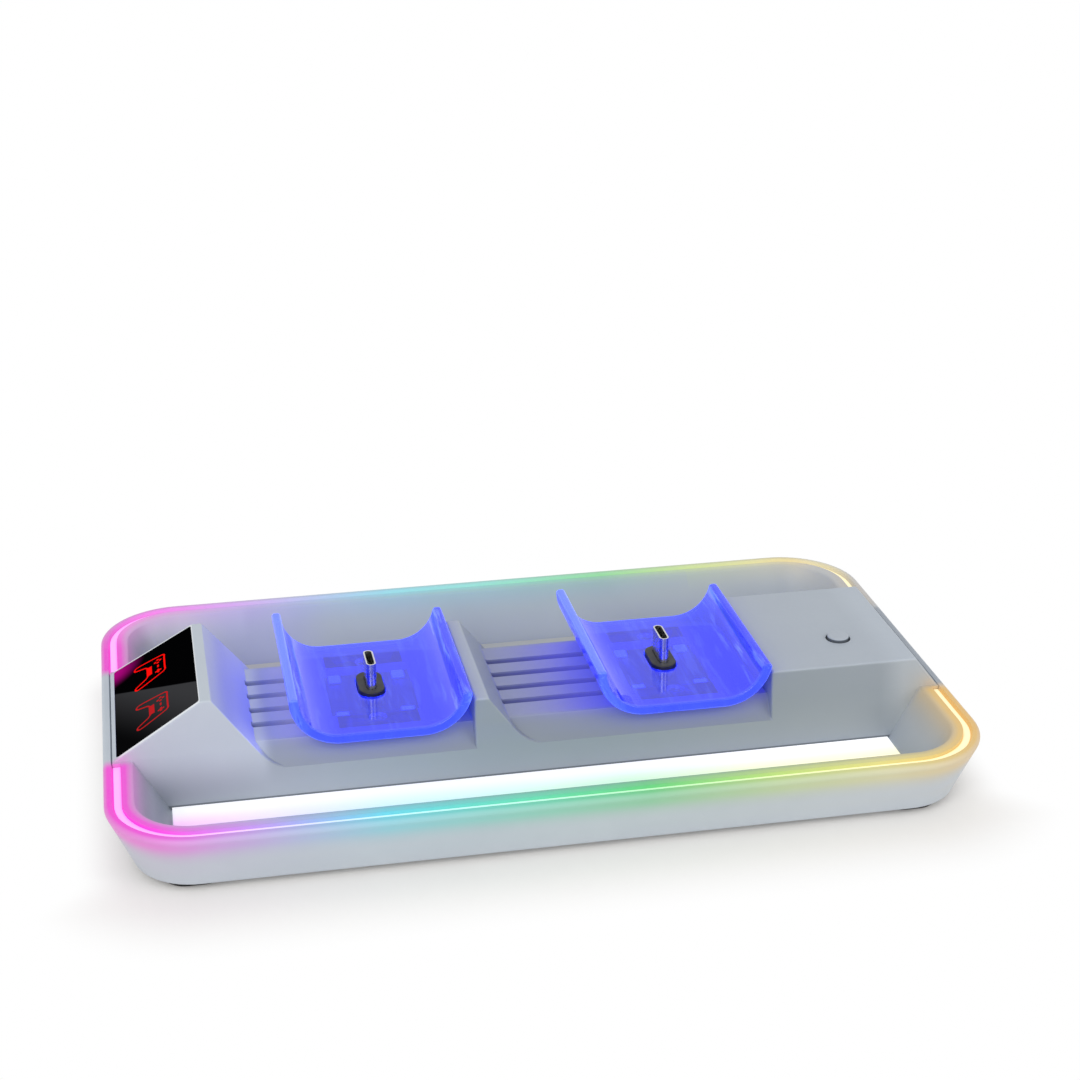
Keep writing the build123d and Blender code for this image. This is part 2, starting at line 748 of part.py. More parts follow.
# Feet and screws
foot_names = ("foot_front_left", "foot_rear_left", "foot_front_right", "foot_rear_right")
for name, place in zip(foot_names, foot_places):
    with BuildPart() as foot:
        with BuildSketch(Plane.XY):
            with Locations(place):
                SlotOverall(foot_length, foot_width)
        extrude(amount=foot_height + foot_seat)
        fillet(foot.faces().sort_by(Axis.Z)[0].edges(), foot_seat)
    keep(foot.part, name)

with BuildPart() as housing_screws:
    with BuildSketch(Plane.XY.offset(underside_z + screw_recess)):
        with Locations(*screw_places):
            Circle(screw_head_diameter / 2)
    extrude(amount=screw_head_height)
    with BuildSketch(Plane.XY.offset(screw_seat_z)):
        with Locations(*screw_places):
            Circle(screw_shank_diameter / 2)
    extrude(amount=screw_length)
    with BuildSketch(Plane.XY.offset(underside_z + screw_recess)):
        with Locations(*screw_places):
            Rectangle(screw_head_diameter / 2, screw_fit * 3)
            Rectangle(screw_fit * 3, screw_head_diameter / 2)
    extrude(amount=screw_head_height / 2, mode=Mode.SUBTRACT)
keep(housing_screws.part, "housing_screws")
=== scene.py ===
"""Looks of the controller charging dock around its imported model, in metres in the model's own frame."""

import math

import bpy
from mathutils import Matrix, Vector


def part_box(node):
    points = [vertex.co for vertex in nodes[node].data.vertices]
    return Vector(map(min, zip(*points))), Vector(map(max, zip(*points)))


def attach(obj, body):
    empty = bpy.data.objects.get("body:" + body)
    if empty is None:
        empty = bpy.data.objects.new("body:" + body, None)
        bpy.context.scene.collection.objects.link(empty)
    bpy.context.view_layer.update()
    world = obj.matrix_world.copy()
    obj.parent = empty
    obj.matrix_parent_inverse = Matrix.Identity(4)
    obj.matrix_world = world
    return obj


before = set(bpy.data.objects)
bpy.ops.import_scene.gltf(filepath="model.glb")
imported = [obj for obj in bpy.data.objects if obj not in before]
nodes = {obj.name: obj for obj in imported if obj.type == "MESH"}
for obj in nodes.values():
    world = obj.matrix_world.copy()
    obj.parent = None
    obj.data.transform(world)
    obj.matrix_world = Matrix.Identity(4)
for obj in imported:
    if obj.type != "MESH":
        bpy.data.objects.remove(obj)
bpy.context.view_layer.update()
scene = bpy.context.scene
scene.view_settings.view_transform = "Standard"

MM = 0.001

# Camera, as worked out from the tray's outline in the photograph
CAMERA_PLACE = (-0.087224, -0.454130, 0.24927)
CAMERA_PITCH = math.radians(22.8808)
CAMERA_TURN = math.radians(11.4504)
FOCAL_PIXELS = 2064.72
PHOTO_SIDE = 1080
SENSOR_WIDTH = 36.0

# The light strip's middle line in the rim: half sizes, corner radius, level and ends
STRIP_HALF_X = 100.0 * MM
STRIP_HALF_Y = 59.0 * MM
STRIP_CORNER = 17.0 * MM
STRIP_TOP_Z = 15.55 * MM
STRIP_END_Y = 24.4 * MM

# The strip's light on the housing: full up to a distance, then fading over a reach to either side
FULL_LIGHT_DISTANCE = 2.2 * MM
OUTER_REACH = 1.7 * MM
INNER_REACH = 2.3 * MM
RIGHT_INNER_REACH = 3.2 * MM
REAR_LIGHT_SHARE = 0.5
BACK_RIGHT_LOSS = 0.75
REAR_COLOUR_LAG = 22.0 * MM
RIM_GLOW = 0.1
REAR_GLOW = 0.3
STRIP_GLOW = 0.42

# Places along the bridge
RIDGE_LEFT_X = -79.8 * MM
WEDGE_FOOT_X = -67.6 * MM
REST_FOOT_X = -6.5 * MM
RIGHT_CRADLE_X = 14.0 * MM
PLATFORM_LEFT_X = 58.0 * MM
BRIDGE_HALF_Y = 23.4 * MM
DECK_FLAT_Y = 19.3 * MM
GROOVES_HALF_Y = 13.0 * MM
RIM_Z = 16.4 * MM
DECK_Z = 16.3 * MM
PLATFORM_Z = 23.6 * MM
PANEL_TOP_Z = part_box("front_floor_panel")[1].z

# Display slope: its tilt, a point on it that lies a way in from its foot, and the window's lit corner
DISPLAY_TILT = math.radians(31.3)
DISPLAY_FOOT_X = -100.8 * MM
DISPLAY_RUN = 10.2 * MM
DISPLAY_RISE = DISPLAY_RUN * math.tan(DISPLAY_TILT)
DISPLAY_POINT = Vector((DISPLAY_FOOT_X + DISPLAY_RUN, 0.0, RIM_Z + DISPLAY_RISE))
WINDOW_CORNER_X = -99.6 * MM
WINDOW_CORNER_Y = 21.0 * MM
SIGN_LIFT = 0.04 * MM

# Colours of the strip's light and of the strip itself from the display end to the button end, as sRGB bytes
STRIP_COLOURS = [
    (-103, (248, 68, 212)),
    (-92, (240, 88, 218)),
    (-78, (208, 142, 226)),
    (-62, (172, 178, 226)),
    (-42, (118, 208, 222)),
    (-12, (112, 210, 182)),
    (18, (114, 204, 136)),
    (48, (188, 212, 134)),
    (74, (220, 212, 146)),
    (103, (232, 188, 116)),
]
STRIP_CORES = [
    (-103, (254, 170, 250)),
    (-90, (250, 182, 246)),
    (-70, (234, 214, 242)),
    (-40, (204, 240, 240)),
    (-10, (204, 244, 228)),
    (20, (200, 240, 200)),
    (50, (234, 242, 192)),
    (78, (244, 238, 196)),
    (103, (252, 240, 196)),
]

# How dark the upper housing's shade is from the display end to the button end
SHADE_ALONG = [
    (-92, 0.9),
    (-80, 0.8),
    (-66, 0.6),
    (-52, 0.6),
    (-15, 0.8),
    (8, 0.85),
    (60, 0.85),
    (86, 0.76),
    (92, 0.4),
]
PLATFORM_TOP_SHADE = 0.46
BACK_SHADE_LOSS = 0.55
LEFT_END_SHADE = 0.4

# Tones of the housing as sRGB bytes, and the shares of the painted shade, light and highlight
SHELL_TONE = (196, 204, 213)
SHELL_TONE_OTHER = (200, 208, 216)
SHADE_TONE = (138, 146, 156)
END_RAIL_SHADE_TONE = (112, 118, 128)
END_RAIL_SHADE_SHARE = 0.45
REAR_SLOPE_LIGHT_SHARE = 0.8
DECK_EDGE_SHADE_TONE = (108, 114, 126)
DECK_EDGE_SHADE_SHARE = 0.3
GROOVE_SHADE_TONE = (84, 88, 128)
GROOVE_SHADE_SHARE = 0.75
LEFT_GROOVE_SHADE_SHARE = 0.35
FRAME_HIGHLIGHT_TONE = (246, 248, 250)
FRAME_HIGHLIGHT_SHARE = 0.8
SEAM_SHADE_TONE = (84, 90, 98)
SEAM_SHADE_SHARE = 0.7

# Blue light of the cradles painted on the housing
BACK_WALL_LIGHT_TONE = (164, 164, 236)
BACK_WALL_LIGHT_SHARE = 0.8
FACE_LOW_LIGHT_TONE = (206, 210, 250)
FACE_HIGH_LIGHT_TONE = (164, 169, 226)
LEFT_DECK_LIGHT_TONE = (158, 162, 232)
BESIDE_LEFT_CRADLE_LIGHT_TONE = (212, 207, 232)
RIGHT_DECK_LIGHT_TONE = (138, 132, 228)
BLUE_LIGHT = (70, 76, 255)
BLUE_GLOW = 0.04
LAMP_LIGHT = (70, 84, 255)
LAMP_GLOW = 8.0
LAMP_HEIGHT = 0.7 * MM

# Faces that meet at a smaller angle than this are shaded smooth
SMOOTH_ANGLE = math.radians(28)

# Floor, the reach of the shadow that is kept on it, and the light of the surroundings
FLOOR_HALF = 3.0
FLOOR_TONE = (250, 246, 241)
FRONT_SHADOW_REACH = 30 * MM
SIDE_SHADOW_REACH = 15 * MM
SHADOW_START = 4 * MM
WHITE_IN_SHADOW = 0.06
SKY_COLOUR = (0.95, 0.97, 1.0, 1.0)
SKY_STRENGTH = 0.62
WHITE = (1.0, 1.0, 1.0, 1.0)


def linear(rgb):
    """A colour in sRGB bytes as linear values with alpha 1."""
    out = []
    for byte in rgb:
        part = byte / 255
        out.append(part / 12.92 if part <= 0.04045 else ((part + 0.055) / 1.055) ** 2.4)
    return (*out, 1.0)


class Shader:
    """A material under construction: short calls that add and join its nodes."""

    def __init__(self, name):
        self.material = bpy.data.materials.new(name)
        self.material.use_nodes = True
        self.tree = self.material.node_tree
        self.tree.nodes.clear()
        self.output = self.add("OutputMaterial")
        self.surface = self.add("BsdfPrincipled")
        self.join(self.surface.outputs[0], self.output.inputs["Surface"])
        self.coordinates = self.add("TexCoord")
        self.point = self.coordinates.outputs["Object"]
        self.x, self.y, self.z = self.split(self.point)

    def add(self, kind, **settings):
        node = self.tree.nodes.new("ShaderNode" + kind)
        for key, value in settings.items():
            setattr(node, key, value)
        return node

    def join(self, source, target):
        self.tree.links.new(source, target)

    def put(self, value, socket):
        """Sets a socket to a number or colour, or links another socket to it."""
        if isinstance(value, bpy.types.NodeSocket):
            self.join(value, socket)
        else:
            socket.default_value = value

    def set(self, **values):
        for key, value in values.items():
            self.put(value, self.surface.inputs[key.replace("_", " ")])

    def split(self, vector):
        node = self.add("SeparateXYZ")
        self.join(vector, node.inputs[0])
        return node.outputs[0], node.outputs[1], node.outputs[2]

    def math(self, operation, first, second=0.0):
        node = self.add("Math", operation=operation)
        self.put(first, node.inputs[0])
        self.put(second, node.inputs[1])
        return node.outputs[0]

    def times(self, first, *others):
        for other in others:
            first = self.math("MULTIPLY", first, other)
        return first

    def one_less(self, value):
        return self.math("SUBTRACT", 1.0, value)

    def root_of_squares(self, first, second):
        return self.math("SQRT", self.math("ADD", self.times(first, first), self.times(second, second)))

    def away(self):
        """Distance from the middle plane, to the front or to the back."""
        return self.math("ABSOLUTE", self.y)

    def remap(self, value, low, high, to_low=0.0, to_high=1.0, smooth=True):
        """Carries a value from one range to another and holds it at the ends."""
        kind = "SMOOTHSTEP" if smooth else "LINEAR"
        node = self.add("MapRange", interpolation_type=kind)
        self.put(value, node.inputs["Value"])
        for name, number in (
            ("From Min", low),
            ("From Max", high),
            ("To Min", to_low),
            ("To Max", to_high),
        ):
            self.put(number, node.inputs[name])
        return node.outputs["Result"]

    def mix(self, factor, first, second):
        node = self.add("Mix", data_type="RGBA")
        self.put(factor, node.inputs["Factor"])
        self.put(first, node.inputs[6])
        self.put(second, node.inputs[7])
        return node.outputs[2]

    def noise(self, scale, detail=3.0, point=None):
        node = self.add("TexNoise")
        self.join(point or self.point, node.inputs["Vector"])
        node.inputs["Scale"].default_value = scale
        node.inputs["Detail"].default_value = detail
        node.inputs["Roughness"].default_value = 0.55
        return node.outputs["Fac"]

    def streaks(self, scale, stretch):
        """Noise drawn out along Y."""
        node = self.add("CombineXYZ")
        self.join(self.x, node.inputs[0])
        self.join(self.times(self.y, 1 / stretch), node.inputs[1])
        self.join(self.z, node.inputs[2])
        return self.noise(scale, point=node.outputs[0])

    def spread(self, scale, low, high):
        """Noise as a plain number between two values."""
        return self.remap(self.noise(scale), 0.3, 0.7, low, high, smooth=False)

    def uneven(self, scale, rgb, other):
        """A colour that wanders between two tones."""
        return self.mix(self.spread(scale, 0.0, 1.0), linear(rgb), linear(other))

    def bump(self, scale, strength, distance):
        node = self.add("Bump")
        node.inputs["Strength"].default_value = strength
        node.inputs["Distance"].default_value = distance
        self.join(self.noise(scale, 2.0), node.inputs["Height"])
        self.join(node.outputs[0], self.surface.inputs["Normal"])

    def ramp(self, value, stops):
        """Colours or grey levels along X in millimetres."""
        low = stops[0][0]
        span = stops[-1][0] - low
        node = self.add("ValToRGB")
        self.put(self.remap(value, low * MM, (low + span) * MM, smooth=False), node.inputs[0])
        elements = node.color_ramp.elements
        while len(elements) < len(stops):
            elements.new(0.5)
        for element, (place, colour) in zip(elements, stops):
            element.position = (place - low) / span
            element.color = colour
        return node.outputs[0]

    def strip_distance(self):
        """Signed distance from the strip's middle line seen from above, positive outwards."""
        over_x = self.math("SUBTRACT", self.math("ABSOLUTE", self.x), STRIP_HALF_X - STRIP_CORNER)
        over_y = self.math("SUBTRACT", self.away(), STRIP_HALF_Y - STRIP_CORNER)
        outside = self.root_of_squares(self.math("MAXIMUM", over_x, 0.0), self.math("MAXIMUM", over_y, 0.0))
        inside = self.math("MINIMUM", self.math("MAXIMUM", over_x, over_y), 0.0)
        return self.math("SUBTRACT", self.math("ADD", outside, inside), STRIP_CORNER)

    def at_rear(self):
        """One along the rear run of the rim, zero elsewhere."""
        return self.remap(self.y, 36 * MM, 54 * MM)

    def along_strip(self, colours):
        """The strip's colours; on the rear run they come later, most of all in its middle."""
        sideways = self.math("ABSOLUTE", self.x)
        later = self.remap(sideways, 0.0, STRIP_HALF_X, REAR_COLOUR_LAG, 0.0, smooth=False)
        place = self.math("SUBTRACT", self.x, self.times(later, self.at_rear()))
        return self.ramp(place, [(stop, linear(rgb)) for stop, rgb in colours])

    def strip_light(self):
        """How much of the strip's light reaches a place on the housing, from 0 to 1."""
        across = self.strip_distance()
        drop = self.math("SUBTRACT", self.z, STRIP_TOP_Z)
        distance = self.math("SUBTRACT", self.root_of_squares(across, drop), FULL_LIGHT_DISTANCE)
        inner_reach = self.remap(self.x, 84 * MM, 96 * MM, -INNER_REACH, -RIGHT_INNER_REACH)
        reach = self.remap(across, 0.0, -1 * MM, -OUTER_REACH, inner_reach)
        fade = self.math("EXPONENT", self.math("DIVIDE", distance, reach))
        beside = self.remap(self.away(), STRIP_END_Y - 3 * MM, STRIP_END_Y + 2 * MM)
        back_right = self.times(self.remap(self.x, 88 * MM, 96 * MM), self.remap(self.y, 0.0, 1 * MM))
        return self.times(
            self.math("MINIMUM", fade, 1.0),
            beside,
            self.one_less(self.times(back_right, BACK_RIGHT_LOSS)),
            self.remap(self.at_rear(), 0.0, 1.0, 1.0, REAR_LIGHT_SHARE, smooth=False),
        )

    def finish_shell(self, colour):
        """Satin moulding with the strip's light on it."""
        light = self.strip_light()
        tint = self.along_strip(STRIP_COLOURS)
        self.set(Base_Color=self.mix(light, colour, tint))
        self.set(Roughness=self.spread(900.0, 0.42, 0.52), IOR=1.48)
        self.bump(3200.0, 0.1, 0.06 * MM)
        return light, tint


def lower_shell_material():
    """Satin white bowl with the rim light on its rail."""
    look = Shader("white_bowl")
    pale = look.uneven(60.0, SHELL_TONE, SHELL_TONE_OTHER)
    # Between the strips' right ends the rail gets painted shade
    end_rail_shade = look.times(
        look.remap(look.x, 96 * MM, 99 * MM),
        look.remap(look.away(), STRIP_END_Y, STRIP_END_Y - 2 * MM),
        look.remap(look.z, 12 * MM, 15 * MM),
    )
    pale = look.mix(look.times(end_rail_shade, END_RAIL_SHADE_SHARE), pale, linear(END_RAIL_SHADE_TONE))
    # Along the back, the strip's light is painted on the rail's inner slope in the strip's own pale colour
    slope = look.times(
        look.at_rear(),
        look.remap(look.strip_distance(), 2.3 * MM, 1.7 * MM),
        look.remap(look.z, 15 * MM, 15.4 * MM),
    )
    pale = look.mix(look.times(slope, REAR_SLOPE_LIGHT_SHARE), pale, look.along_strip(STRIP_CORES))
    light, tint = look.finish_shell(pale)
    look.set(Emission_Color=tint, Emission_Strength=look.times(light, light, RIM_GLOW))
    return look.material


def housing_shade(look, normal_x, past_wedge):
    """How dark the upper housing is: more so down in the troughs, less on the platform and at the back."""
    along = look.ramp(look.x, [(place, (level,) * 4) for place, level in SHADE_ALONG])
    down = look.remap(look.z, 17.5 * MM, 6 * MM)
    top = look.remap(look.z, PLATFORM_Z - 0.7 * MM, PLATFORM_Z - 0.1 * MM, 1.0, PLATFORM_TOP_SHADE)
    behind = look.times(
        look.remap(look.y, BRIDGE_HALF_Y + 2 * MM, BRIDGE_HALF_Y + 12 * MM, 0.0, BACK_SHADE_LOSS),
        look.remap(look.x, RIDGE_LEFT_X - 8 * MM, RIDGE_LEFT_X),
    )
    left_end = look.times(
        look.remap(normal_x, 0.5, 0.75),
        look.remap(look.x, RIDGE_LEFT_X, RIDGE_LEFT_X - 2 * MM),
        look.remap(look.z, 9 * MM, 13 * MM, 0.0, LEFT_END_SHADE),
    )
    by_height = look.remap(past_wedge, 0.0, 1.0, down, top)
    return look.math("ADD", look.times(along, by_height, look.one_less(behind)), left_end)


def painted_shade_and_highlight(look, grey, normals, past_wedge, near_left):
    """The grey with painted shade on the deck's edges, grooves and seam, and a painted highlight on the
    display's frame.
    """
    normal_x, normal_y, normal_z = normals
    away = look.away()
    # The deck's sloping edges get a little painted shade
    sloped_shade = look.times(
        past_wedge,
        look.remap(normal_z, 0.3, 0.5),
        look.remap(look.x, PLATFORM_LEFT_X, PLATFORM_LEFT_X - 0.5 * MM),
        look.remap(away, DECK_FLAT_Y, DECK_FLAT_Y + 0.3 * MM),
        look.remap(away, BRIDGE_HALF_Y + 1.5 * MM, BRIDGE_HALF_Y + 1 * MM),
        look.remap(look.z, DECK_Z + 0.1 * MM, DECK_Z - 0.1 * MM),
    )
    grey = look.mix(look.times(sloped_shade, DECK_EDGE_SHADE_SHARE), grey, linear(DECK_EDGE_SHADE_TONE))
    # Its grooves get strong painted shade, less so at the left
    groove_shade = look.times(
        look.remap(look.z, DECK_Z - 0.1 * MM, DECK_Z - 0.8 * MM),
        look.remap(away, GROOVES_HALF_Y + 0.3 * MM, GROOVES_HALF_Y),
        look.remap(near_left, 0.0, 1.0, GROOVE_SHADE_SHARE, LEFT_GROOVE_SHADE_SHARE),
    )
    grey = look.mix(groove_shade, grey, linear(GROOVE_SHADE_TONE))
    # The display's frame gets a pale painted highlight
    frame_highlight = look.times(
        look.remap(normal_x, -0.3, -0.42),
        look.remap(look.z, RIM_Z + 0.6 * MM, RIM_Z + 1.2 * MM),
        look.remap(look.x, RIDGE_LEFT_X + 1.2 * MM, RIDGE_LEFT_X + 0.6 * MM),
        look.remap(away, BRIDGE_HALF_Y + 0.4 * MM, BRIDGE_HALF_Y),
    )
    grey = look.mix(look.times(frame_highlight, FRAME_HIGHLIGHT_SHARE), grey, linear(FRAME_HIGHLIGHT_TONE))
    # A thin dark line of painted shade runs where the bridge's long walls meet the floor panels
    seam = look.times(
        look.remap(look.z, PANEL_TOP_Z + 0.35 * MM, PANEL_TOP_Z + 0.2 * MM),
        look.remap(look.math("ABSOLUTE", normal_y), 0.6, 0.8),
        look.remap(away, BRIDGE_HALF_Y + 5 * MM, BRIDGE_HALF_Y + 4 * MM),
    )
    return look.mix(look.times(seam, SEAM_SHADE_SHARE), grey, linear(SEAM_SHADE_TONE))


def blue_light(look, normal_x, past_wedge, near_left):
    """Shares of the cradles' blue light painted on the wedge's right face, on the deck and on the back
    wall.
    """
    away = look.away()
    face = look.times(
        look.remap(normal_x, 0.35, 0.6),
        look.remap(look.x, WEDGE_FOOT_X + 2 * MM, WEDGE_FOOT_X),
        look.remap(away, BRIDGE_HALF_Y + 0.2 * MM, BRIDGE_HALF_Y - 0.3 * MM),
        look.remap(look.z, 28.8 * MM, 23 * MM, 0.5, 1.0),
        look.remap(look.z, 11 * MM, 15 * MM),
    )
    flat = look.times(
        look.remap(away, DECK_FLAT_Y + 2 * MM, DECK_FLAT_Y - 2 * MM, 0.12, 1.0),
        look.remap(look.z, DECK_Z - 5 * MM, DECK_Z - 1.5 * MM),
        look.remap(look.z, DECK_Z + 1.5 * MM, DECK_Z + 0.3 * MM),
        look.remap(look.x, PLATFORM_LEFT_X, PLATFORM_LEFT_X - 0.5 * MM),
        past_wedge,
    )
    near_right = look.remap(look.x, REST_FOOT_X - 2 * MM, RIGHT_CRADLE_X, 0.25, 0.75)
    deck = look.times(flat, look.remap(near_left, 0.0, 1.0, near_right, 0.5))
    back_wall_light = look.times(
        look.remap(look.y, BRIDGE_HALF_Y + 8 * MM, BRIDGE_HALF_Y + 14 * MM),
        look.remap(look.x, RIDGE_LEFT_X - 4 * MM, WEDGE_FOOT_X),
        look.remap(look.x, -40 * MM, -56 * MM, 0.0, 0.45),
    )
    return face, deck, back_wall_light


def upper_shell_material():
    """Satin white moulding with the rim light, painted shade in the troughs and the cradles' blue light
    painted around them.
    """
    look = Shader("white_housing")
    normals = look.split(look.coordinates.outputs["Normal"])
    past_wedge = look.remap(look.x, WEDGE_FOOT_X, WEDGE_FOOT_X + 5 * MM)
    near_left = look.remap(look.x, REST_FOOT_X - 8 * MM, REST_FOOT_X - 9 * MM)
    pale = look.uneven(60.0, SHELL_TONE, SHELL_TONE_OTHER)
    grey = look.mix(housing_shade(look, normals[0], past_wedge), pale, linear(SHADE_TONE))
    grey = painted_shade_and_highlight(look, grey, normals, past_wedge, near_left)
    face, deck, back_wall_light = blue_light(look, normals[0], past_wedge, near_left)
    # The cradles' blue light is painted on the back wall and on the wedge's right face
    grey = look.mix(look.times(back_wall_light, BACK_WALL_LIGHT_SHARE), grey, linear(BACK_WALL_LIGHT_TONE))
    up_face = look.remap(look.z, 17 * MM, 26 * MM)
    grey = look.mix(face, grey, look.mix(up_face, linear(FACE_LOW_LIGHT_TONE), linear(FACE_HIGH_LIGHT_TONE)))
    # The cradles' blue light painted on the deck is paler beside the left cradle and a deeper blue towards
    # the right one
    beside_left = look.times(
        look.remap(look.x, -64.5 * MM, -57.5 * MM),
        look.remap(look.x, -50 * MM, -56 * MM),
    )
    left_deck_light_tone = look.mix(beside_left, linear(LEFT_DECK_LIGHT_TONE), linear(BESIDE_LEFT_CRADLE_LIGHT_TONE))
    deck_light_tone = look.mix(near_left, linear(RIGHT_DECK_LIGHT_TONE), left_deck_light_tone)
    light, tint = look.finish_shell(look.mix(deck, grey, deck_light_tone))
    blue = look.math("MAXIMUM", face, deck)
    glow = look.math("ADD", look.times(light, light, RIM_GLOW), look.times(blue, BLUE_GLOW))
    glow = look.math("ADD", glow, look.times(light, look.at_rear(), REAR_GLOW))
    look.set(Emission_Color=look.mix(blue, tint, linear(BLUE_LIGHT)), Emission_Strength=glow)
    return look.material


def strip_material():
    """Milky light guide, a pale tint of its own colour."""
    look = Shader("rim_light")
    edge = look.remap(look.math("ABSOLUTE", look.strip_distance()), 0.4 * MM, 1.0 * MM, 0.0, 0.25)
    colour = look.mix(edge, look.along_strip(STRIP_CORES), look.along_strip(STRIP_COLOURS))
    look.set(Base_Color=colour, Roughness=look.spread(600.0, 0.3, 0.4))
    look.set(Emission_Color=colour, Emission_Strength=STRIP_GLOW)
    look.bump(1500.0, 0.05, 0.04 * MM)
    return look.material


def floor_panel_material(name, rgb, other, tint, glow):
    """White panel with the strip's coloured light painted on it towards the strip, glowing brighter towards
    the button end.
    """
    look = Shader(name)
    # The strip's light is painted on the panel towards the strip
    side = look.remap(look.away(), 26.5 * MM, 34 * MM, 0.0, tint)
    colour = look.mix(side, look.uneven(40.0, rgb, other), look.along_strip(STRIP_CORES))
    look.set(Base_Color=colour, Roughness=look.spread(700.0, 0.32, 0.42))
    look.set(Emission_Color=colour)
    look.set(Emission_Strength=look.remap(look.x, 10 * MM, 84 * MM, glow, 1.4 * glow))
    look.bump(1500.0, 0.08, 0.04 * MM)
    return look.material


def window_material():
    """Dark polished panel with a painted reflection over its front half."""
    look = Shader("display_panel")
    # A painted reflection lies in front of a slanting line, lighter up the slope and towards the back
    up = look.math("DIVIDE", look.math("SUBTRACT", look.x, DISPLAY_POINT.x), math.cos(DISPLAY_TILT))
    slant = look.math("ADD", look.y, look.times(up, 0.9))
    front = look.remap(slant, 0.9 * MM, 0.3 * MM)
    reflection_level = look.math("ADD", look.times(up, 2.3), look.times(look.y, 1.46))
    tone = look.mix(look.remap(reflection_level, -45 * MM, 8 * MM), linear((10, 10, 11)), linear((62, 62, 64)))
    look.set(Base_Color=look.mix(front, linear((3, 3, 4)), tone))
    look.set(Roughness=look.spread(120.0, 0.1, 0.16), Specular_IOR_Level=0.0)
    # Light of the rear strip's end on the nearest corner
    from_corner = look.root_of_squares(
        look.math("SUBTRACT", look.x, WINDOW_CORNER_X),
        look.math("SUBTRACT", look.y, WINDOW_CORNER_Y),
    )
    look.set(Emission_Color=linear((214, 10, 156)))
    look.set(Emission_Strength=look.remap(from_corner, 8 * MM, 0.0, 0.0, 0.6))
    return look.material


def cradle_material():
    """Clear acrylic with a painted blue glow of the lamps below, brightest along its lips and ends, with
    painted gleams.
    """
    look = Shader("lit_acrylic")
    lip = look.remap(look.z, 27.4 * MM, 28.6 * MM)
    end = look.remap(look.away(), 23.2 * MM, 24.5 * MM)
    wall = look.remap(look.z, 20 * MM, 23 * MM, 0.25, 0.9)
    # Painted gleams of light streak along the walls
    gleam_highlight = look.times(look.remap(look.streaks(520.0, 9.0), 0.52, 0.66), wall)
    bright = look.math("MAXIMUM", look.math("MAXIMUM", lip, look.times(end, 0.6)), gleam_highlight)
    look.set(Base_Color=linear((78, 98, 250)), Roughness=look.spread(300.0, 0.03, 0.08))
    look.set(Transmission_Weight=0.86, IOR=1.45)
    look.set(Emission_Color=look.mix(bright, linear((34, 44, 238)), linear((112, 142, 255))))
    look.set(Emission_Strength=look.remap(bright, 0.0, 1.0, 0.25, 0.6, smooth=False))
    return look.material


def plain_material(name, rgb, other, roughness, metallic=0.0, scale=400.0, bump=0.1):
    look = Shader(name)
    look.set(Base_Color=look.uneven(scale / 4, rgb, other))
    look.set(Roughness=look.spread(scale, roughness - 0.06, roughness + 0.06), Metallic=metallic)
    look.bump(scale * 3, bump, 0.05 * MM)
    return look.material


def button_material(top_z):
    """Satin cap with painted shade on its side."""
    look = Shader("white_button")
    cap = look.remap(look.z, top_z - 0.5 * MM, top_z - 0.2 * MM)
    tone = look.uneven(100.0, (176, 184, 193), (184, 191, 199))
    # Below the cap's top the side is painted in shade
    look.set(Base_Color=look.mix(cap, linear((92, 98, 106)), tone))
    look.set(Roughness=look.spread(400.0, 0.36, 0.46))
    look.bump(1200.0, 0.1, 0.05 * MM)
    return look.material


def board_material(name, lamp_z=None):
    """Green laminate, with lit lamps above a level."""
    look = Shader(name)
    weave = look.remap(look.noise(500.0), 0.45, 0.55, smooth=False)
    look.set(Base_Color=look.mix(weave, linear((20, 74, 44)), linear((28, 92, 54))))
    look.set(Roughness=look.spread(800.0, 0.4, 0.5))
    if lamp_z is not None:
        lamp = look.remap(look.z, lamp_z, lamp_z + 0.2 * MM)
        look.set(Emission_Color=linear(LAMP_LIGHT), Emission_Strength=look.times(lamp, LAMP_GLOW))
    return look.material


def sign_material(name, rgb, strength):
    look = Shader(name)
    look.set(Base_Color=linear((60, 4, 4)), Specular_IOR_Level=0.0)
    look.set(Roughness=look.spread(400.0, 0.4, 0.5))
    look.set(Emission_Color=linear(rgb), Emission_Strength=strength)
    return look.material


def dress(material, *names):
    for name in names:
        mesh = nodes[name].data
        mesh.materials.clear()
        mesh.materials.append(material)


dress(lower_shell_material(), "lower_housing")
dress(upper_shell_material(), "upper_housing")
dress(strip_material(), "front_light_strip", "rear_light_strip")
dress(
    floor_panel_material("front_panel", (246, 247, 249), (250, 250, 251), tint=0.85, glow=0.44),
    "front_floor_panel",
)
dress(
    floor_panel_material("rear_panel", (190, 190, 188), (198, 197, 194), tint=0.04, glow=0.0),
    "rear_floor_panel",
)
dress(window_material(), "display_window")
dress(cradle_material(), "left_cradle", "right_cradle")
dress(
    plain_material("lamp_tape", (228, 226, 214), (238, 236, 226), 0.5),
    "front_led_tape",
    "rear_led_tape",
)
dress(board_material("circuit_board"), "display_board", "switch_board", "main_board", "inlet_board")
dress(
    board_material("lit_board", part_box("left_glow_board")[1].z - LAMP_HEIGHT),
    "left_glow_board",
    "right_glow_board",
)
dress(
    plain_material("dark_collar", (22, 22, 25), (30, 30, 33), 0.5),
    "left_plug_collar",
    "right_plug_collar",
)
dress(
    plain_material("plated_steel", (200, 200, 198), (216, 216, 214), 0.26, 1.0, scale=900.0, bump=0.05),
    "left_charge_plug",
    "right_charge_plug",
    "power_inlet",
)
dress(button_material(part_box("mode_button")[1].z), "mode_button")
dress(plain_material("switch_body", (20, 20, 20), (30, 30, 30), 0.5), "mode_switch")
